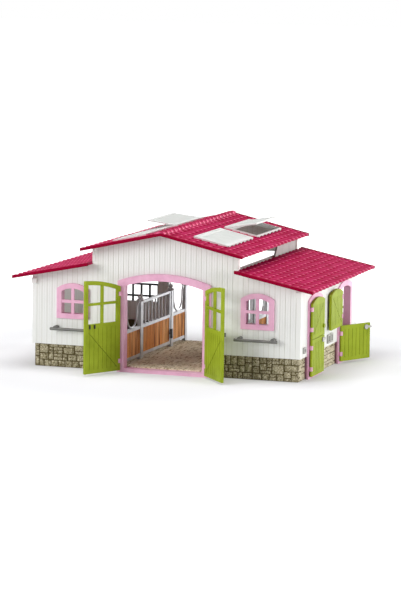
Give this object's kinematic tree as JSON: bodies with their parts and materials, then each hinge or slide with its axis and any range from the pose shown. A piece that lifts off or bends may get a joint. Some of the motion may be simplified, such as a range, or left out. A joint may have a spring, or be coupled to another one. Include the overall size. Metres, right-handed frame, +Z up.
{
  "type": "toy horse stable",
  "caption": "Toy horse stable with a raised aisle and tiled wing roofs, arched doors, Dutch side doors, skylight flaps and stall gates that swing.",
  "frame": {"origin": "on the ground at the middle of the building's footprint", "axes": "+Z up, -Y out of the front door, +X to the right seen from the front"},
  "size_m": [0.6433, 0.5227, 0.286],
  "materials": {
    "white_boards": "satin moulded boards",
    "stone": "washed stone relief",
    "sand": "sanded",
    "pink": "satin",
    "green": "satin planks",
    "roof_red": "satin tiles",
    "white_frame": "smooth",
    "frosted": "frosted",
    "black": "smooth",
    "grey_metal": "silver moulded",
    "wood": "wood grain",
    "grey": "satin"
  },
  "bodies": {
    "house": {"floor_plate": "sand", "front_gable_panel": "white_boards", "front_wing_panel_left": "white_boards", "front_wing_panel_right": "white_boards", "left_wall": "white_boards", "right_wall": "white_boards", "front_plinths": "stone", "left_plinth": "stone", "right_plinths": "stone", "rear_plinths": "stone", "front_door_frame": "pink", "front_windows": "pink", "side_windows": "pink", "stable_door_frame_front": "pink", "stable_door_frame_rear": "pink", "rear_gable_frame": "white_boards", "rear_wing_panels": "white_boards", "rear_grilles": "black", "roof_purlins": "white_boards", "clerestory_panels": "white_boards", "main_roof_left": "roof_red", "main_roof_right": "roof_red", "ridge_cap": "roof_red", "wing_roof_left": "roof_red", "wing_roof_right": "roof_red", "skylight_frames_left": "white_frame", "skylight_frames_right": "white_frame", "stall_front_frame_left": "grey_metal", "stall_front_frame_right": "grey_metal", "stall_rear_frame_left": "grey_metal", "stall_rear_frame_right": "grey_metal", "stall_wood_left": "wood", "stall_wood_right": "wood", "hitching_bars": "grey", "wall_sockets": "grey"},
    "front_door_left": {"front_door_left": "green", "door_handle_left": "black"},
    "front_door_right": {"front_door_right": "green", "door_handle_right": "black"},
    "stable_leaf_lower_front": {"stable_leaf_lower_front": "green"},
    "stable_leaf_upper_front": {"stable_leaf_upper_front": "green"},
    "leaf_latch_front": {"leaf_latch_front": "grey"},
    "stable_leaf_lower_rear": {"stable_leaf_lower_rear": "green"},
    "stable_leaf_upper_rear": {"stable_leaf_upper_rear": "green"},
    "leaf_latch_rear": {"leaf_latch_rear": "grey"},
    "skylight_flap_left_front": {"skylight_flap_left_front": "white_frame", "skylight_pane_left_front": "frosted"},
    "skylight_flap_left_rear": {"skylight_flap_left_rear": "white_frame", "skylight_pane_left_rear": "frosted"},
    "skylight_flap_right_front": {"skylight_flap_right_front": "white_frame", "skylight_pane_right_front": "frosted"},
    "skylight_flap_right_rear": {"skylight_flap_right_rear": "white_frame", "skylight_pane_right_rear": "frosted"},
    "stall_gate_left": {"stall_gate_left": "grey_metal", "gate_wood_left": "wood"},
    "gate_latch_left": {"gate_latch_left": "black"},
    "stall_gate_right": {"stall_gate_right": "grey_metal", "gate_wood_right": "wood"},
    "gate_latch_right": {"gate_latch_right": "black"}
  },
  "joints": [
    {"name": "front_door_left_swing", "type": "hinge", "parent": "house", "child": "front_door_left", "pos_m": [-0.0905, -0.2158, 0.09], "axis": [0, 0, 1], "range_deg": [-31, 119]},
    {"name": "front_door_right_swing", "type": "hinge", "parent": "house", "child": "front_door_right", "pos_m": [0.0905, -0.2158, 0.09], "axis": [0, 0, -1], "range_deg": [-20, 130]},
    {"name": "stable_leaf_lower_front_swing", "type": "hinge", "parent": "house", "child": "stable_leaf_lower_front", "pos_m": [0.2868, -0.1505, 0.04], "axis": [0, 0, -1], "range_deg": [0, 150]},
    {"name": "stable_leaf_upper_front_swing", "type": "hinge", "parent": "house", "child": "stable_leaf_upper_front", "pos_m": [0.2868, -0.1505, 0.118], "axis": [0, 0, -1], "range_deg": [0, 180]},
    {"name": "leaf_latch_front_turn", "type": "hinge", "parent": "stable_leaf_lower_front", "child": "leaf_latch_front", "pos_m": [0.2868, -0.08, 0.07], "axis": [1, 0, 0], "range_deg": [0, 90]},
    {"name": "stable_leaf_lower_rear_swing", "type": "hinge", "parent": "house", "child": "stable_leaf_lower_rear", "pos_m": [0.2868, 0.0655, 0.04], "axis": [0, 0, -1], "range_deg": [-28, 122]},
    {"name": "stable_leaf_upper_rear_swing", "type": "hinge", "parent": "house", "child": "stable_leaf_upper_rear", "pos_m": [0.2868, 0.0655, 0.118], "axis": [0, 0, -1], "range_deg": [-180, 0]},
    {"name": "leaf_latch_rear_turn", "type": "hinge", "parent": "stable_leaf_lower_rear", "child": "leaf_latch_rear", "pos_m": [0.3199, 0.12775, 0.07], "axis": [0.8829, -0.4695, 0], "range_deg": [0, 90]},
    {"name": "skylight_flap_left_front_tilt", "type": "hinge", "parent": "house", "child": "skylight_flap_left_front", "pos_m": [-0.0547, -0.094, 0.27174], "axis": [0, 1, 0], "range_deg": [0, 90]},
    {"name": "skylight_flap_left_rear_tilt", "type": "hinge", "parent": "house", "child": "skylight_flap_left_rear", "pos_m": [-0.0547, 0.101, 0.27174], "axis": [0, 1, 0], "range_deg": [-19, 71]},
    {"name": "skylight_flap_right_front_tilt", "type": "hinge", "parent": "house", "child": "skylight_flap_right_front", "pos_m": [0.0547, -0.094, 0.27174], "axis": [0, -1, 0], "range_deg": [0, 90]},
    {"name": "skylight_flap_right_rear_tilt", "type": "hinge", "parent": "house", "child": "skylight_flap_right_rear", "pos_m": [0.0547, 0.101, 0.27174], "axis": [0, -1, 0], "range_deg": [-22.5, 67.5]},
    {"name": "stall_gate_left_swing", "type": "hinge", "parent": "house", "child": "stall_gate_left", "pos_m": [-0.09, -0.0835, 0.075], "axis": [0, 0, 1], "range_deg": [0, 90]},
    {"name": "gate_latch_left_turn", "type": "hinge", "parent": "stall_gate_left", "child": "gate_latch_left", "pos_m": [-0.09, 0.082, 0.038], "axis": [-1, 0, 0], "range_deg": [0, 90]},
    {"name": "stall_gate_right_swing", "type": "hinge", "parent": "house", "child": "stall_gate_right", "pos_m": [0.09, -0.0835, 0.075], "axis": [0, 0, -1], "range_deg": [0, 90]},
    {"name": "gate_latch_right_turn", "type": "hinge", "parent": "stall_gate_right", "child": "gate_latch_right", "pos_m": [0.09, 0.082, 0.038], "axis": [-1, 0, 0], "range_deg": [0, 90]}
  ]
}
